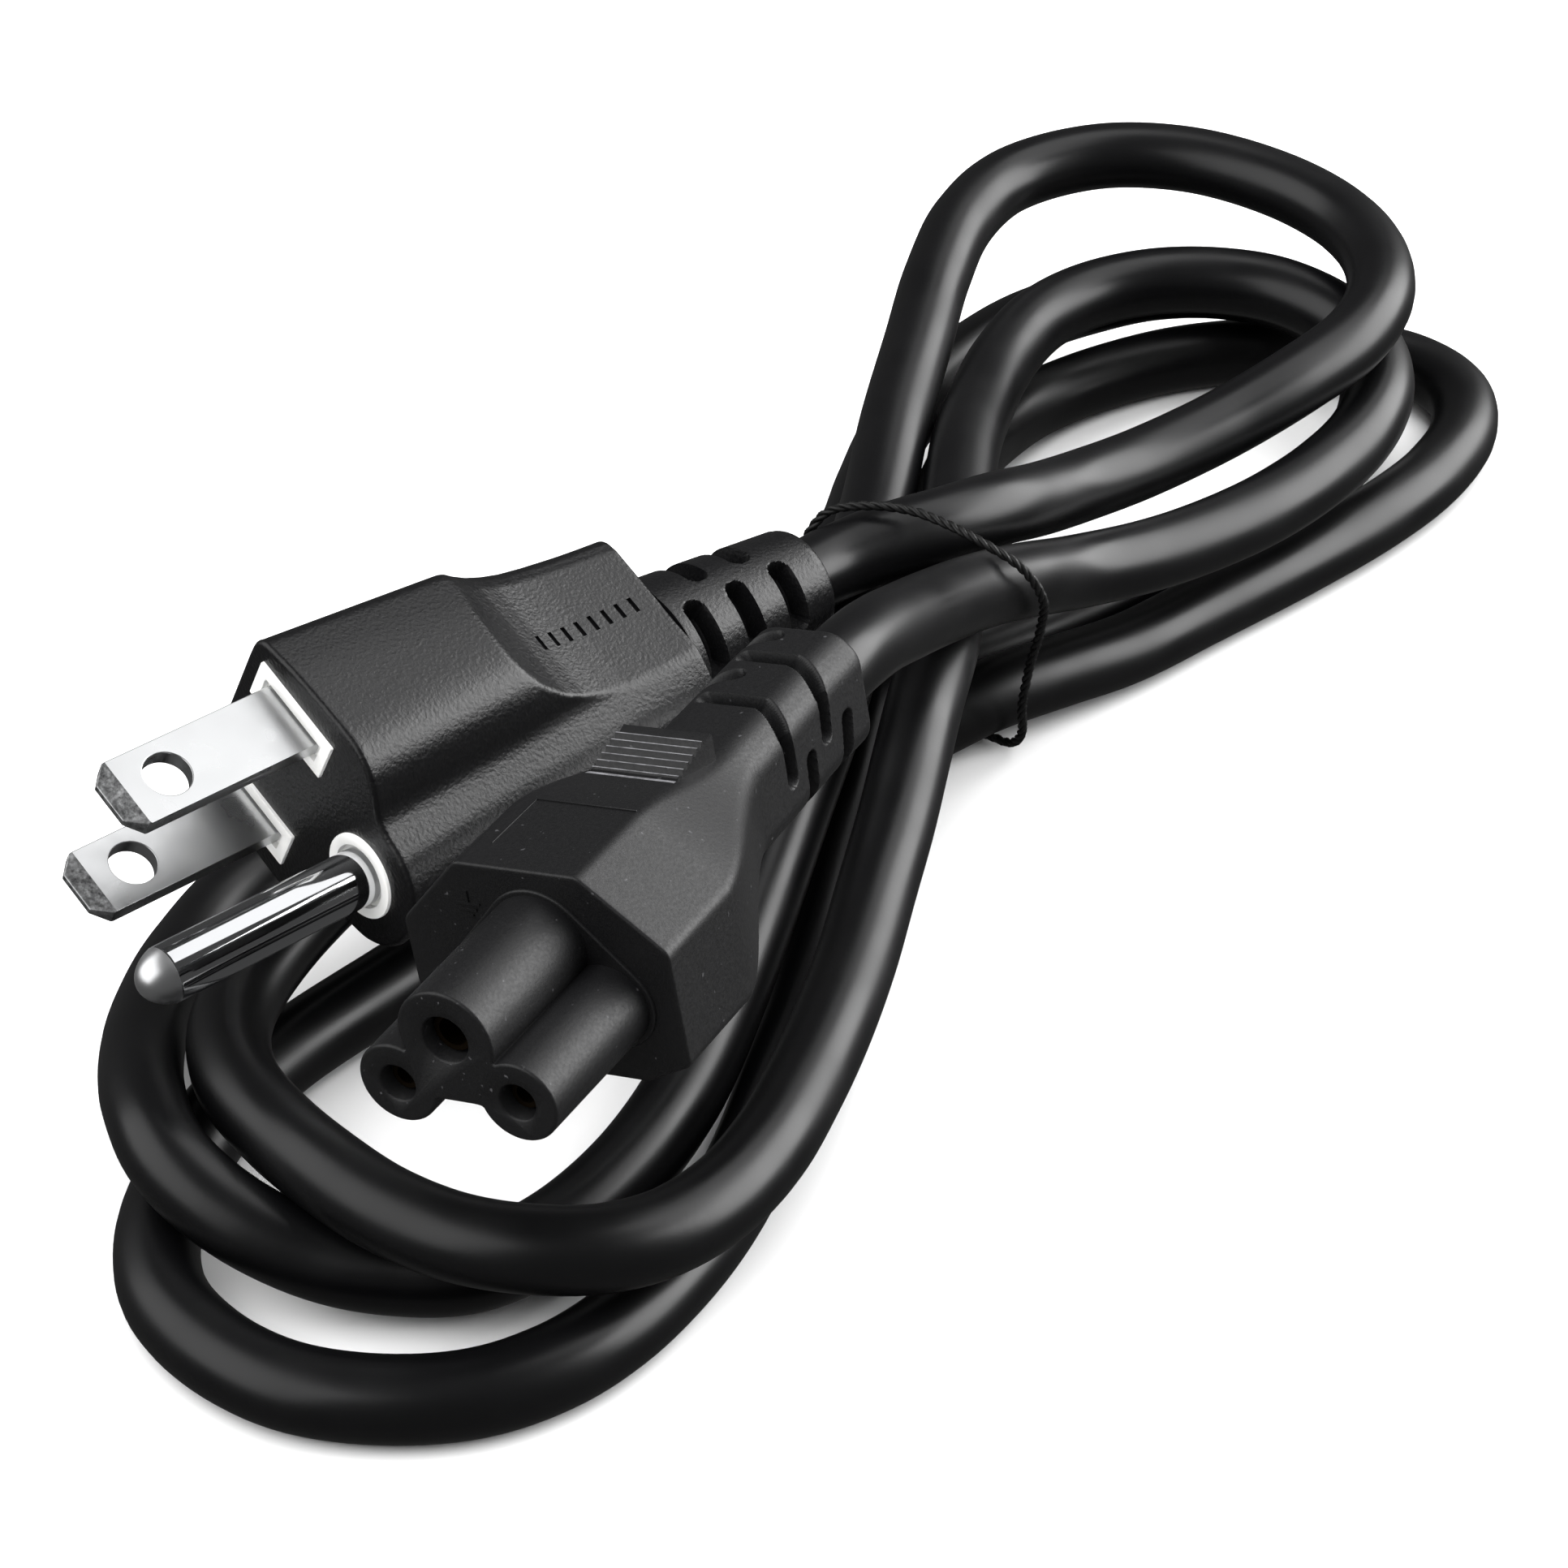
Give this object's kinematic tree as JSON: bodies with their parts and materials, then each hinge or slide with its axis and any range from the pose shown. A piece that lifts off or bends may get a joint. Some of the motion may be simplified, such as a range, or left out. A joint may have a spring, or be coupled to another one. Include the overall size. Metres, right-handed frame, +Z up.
{
  "type": "cloverleaf power cord",
  "caption": "Black mains lead in a figure-eight hank held by a wire tie, with a flat-blade grounded plug on one end and a cloverleaf connector on the other.",
  "frame": {"origin": "centre of the bounding box, at floor level", "axes": "+X along the hank towards the loops away from the plug, +Y across the hank towards the side away from the connector, +Z up"},
  "size_m": [0.189, 0.0876, 0.0447],
  "materials": {
    "cord_pvc": "extruded black flexible PVC, smooth with a soft sheen",
    "plug_pvc": "moulded black PVC with a fine spark-eroded grain",
    "white_nylon": "moulded white nylon",
    "nickel_plate": "bright nickel plating on brass, blades lightly brushed, pin polished",
    "connector_pvc": "moulded black PVC, finer and more matte than the plug",
    "contact_bronze": "bare contact bronze",
    "tie_coating": "black plastic coat over a soft wire"
  },
  "bodies": {
    "root": {"cord": "cord_pvc", "plug_body": "plug_pvc", "contact_bridge": "white_nylon", "blade_upper": "nickel_plate", "blade_lower": "nickel_plate", "ground_pin": "nickel_plate", "connector_body": "connector_pvc", "contact_sleeve_live": "contact_bronze", "contact_sleeve_neutral": "contact_bronze", "contact_sleeve_earth": "contact_bronze", "twist_tie": "tie_coating"}
  },
  "joints": []
}
